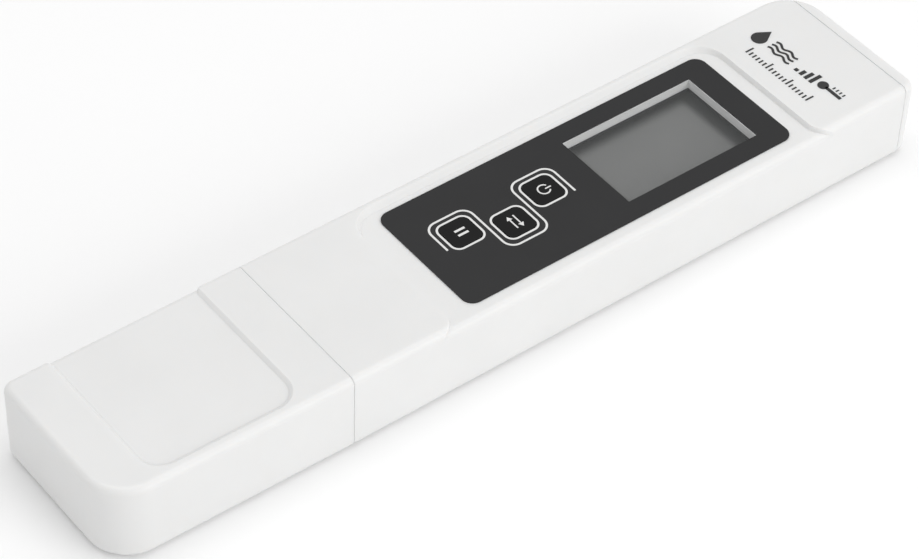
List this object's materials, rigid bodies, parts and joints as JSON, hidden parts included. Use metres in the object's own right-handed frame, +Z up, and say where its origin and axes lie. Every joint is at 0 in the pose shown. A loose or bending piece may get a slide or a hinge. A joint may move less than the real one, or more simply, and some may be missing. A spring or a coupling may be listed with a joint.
{
  "type": "digital water tester",
  "caption": "Pen-type water tester: white housing with a display, three push keys, a pull-off probe cap over two electrodes and a battery cap that draws out a tray.",
  "frame": {"origin": "under the middle of the pen, on the surface that it lies on with its label up", "axes": "+X along the pen from the probe cap's tip to the battery cap, +Z up out of the label, +Y across"},
  "size_m": [0.153, 0.0296, 0.0145],
  "materials": {
    "white_plastic": "satin moulded",
    "probe_plastic": "satin moulded",
    "tray_plastic": "matt moulded",
    "black_film": "fine matt printed film",
    "key_film": "fine matt printed film",
    "clear_film": "clear film",
    "display_face": "grey polarizer",
    "display_glass": "clear",
    "display_back": "satin reflector",
    "frame_plastic": "satin moulded",
    "bezel_plastic": "matt moulded",
    "strip_rubber": "soft layered",
    "seal_rubber": "soft matt",
    "gasket_plastic": "matt",
    "stem_plastic": "satin moulded",
    "plunger_plastic": "satin moulded",
    "switch_plastic": "matt moulded",
    "electrode_metal": "satin titanium",
    "sensor_metal": "satin steel",
    "potting_resin": "glossy resin",
    "lead_metal": "tinned copper",
    "board_laminate": "solder mask",
    "chip_epoxy": "matt epoxy",
    "leg_metal": "tinned",
    "passive_ceramic": "matt ceramic",
    "spring_metal": "plated spring",
    "cell_steel": "bright plated",
    "white_ink": "screen-printed",
    "black_ink": "screen-printed"
  },
  "bodies": {
    "housing": {"housing_tube": "white_plastic", "front_label": "black_film", "display_window": "clear_film", "display_frame": "frame_plastic", "display_bezel": "bezel_plastic", "connector_strip_near": "strip_rubber", "connector_strip_far": "strip_rubber", "display_polarizer": "display_face", "display_front_glass": "display_glass", "display_rear_glass": "display_glass", "display_reflector": "display_back", "probe_head": "probe_plastic", "electrode_near": "electrode_metal", "electrode_far": "electrode_metal", "temperature_sensor": "sensor_metal", "probe_potting": "potting_resin", "probe_leads": "lead_metal", "neck_seal": "seal_rubber", "main_board": "board_laminate", "controller_chip": "chip_epoxy", "amplifier_chip": "chip_epoxy", "amplifier_legs": "leg_metal", "crystal_can": "leg_metal", "chip_passives": "passive_ceramic", "contact_spring_near": "spring_metal", "contact_spring_far": "spring_metal", "switch_base_hold": "switch_plastic", "switch_base_shift": "switch_plastic", "switch_base_on_off": "switch_plastic"},
    "probe_cap": {"probe_cap": "white_plastic"},
    "battery_drawer": {"battery_cap": "white_plastic", "battery_seal": "seal_rubber", "battery_tray": "tray_plastic", "bridge_strap": "spring_metal", "cell_near_can": "cell_steel", "cell_near_gasket": "gasket_plastic", "cell_near_button": "cell_steel", "cell_far_can": "cell_steel", "cell_far_gasket": "gasket_plastic", "cell_far_button": "cell_steel"},
    "key_hold": {"key_pad_hold": "key_film", "key_stem_hold": "stem_plastic", "switch_plunger_hold": "plunger_plastic"},
    "key_shift": {"key_pad_shift": "key_film", "key_stem_shift": "stem_plastic", "switch_plunger_shift": "plunger_plastic"},
    "key_on_off": {"key_pad_on_off": "key_film", "key_stem_on_off": "stem_plastic", "switch_plunger_on_off": "plunger_plastic"}
  },
  "joints": [
    {"name": "cap_pull", "type": "slide", "parent": "housing", "child": "probe_cap", "axis": [-1, 0, 0], "range_m": [0, 0.04]},
    {"name": "battery_pull", "type": "slide", "parent": "housing", "child": "battery_drawer", "axis": [1, 0, 0], "range_m": [0, 0.022]},
    {"name": "press_hold", "type": "slide", "parent": "housing", "child": "key_hold", "axis": [0, 0, -1], "range_m": [0, 0.00025], "stiffness_N_per_m": 6400},
    {"name": "press_shift", "type": "slide", "parent": "housing", "child": "key_shift", "axis": [0, 0, -1], "range_m": [0, 0.00025], "stiffness_N_per_m": 6400},
    {"name": "press_on_off", "type": "slide", "parent": "housing", "child": "key_on_off", "axis": [0, 0, -1], "range_m": [0, 0.00025], "stiffness_N_per_m": 6400}
  ]
}
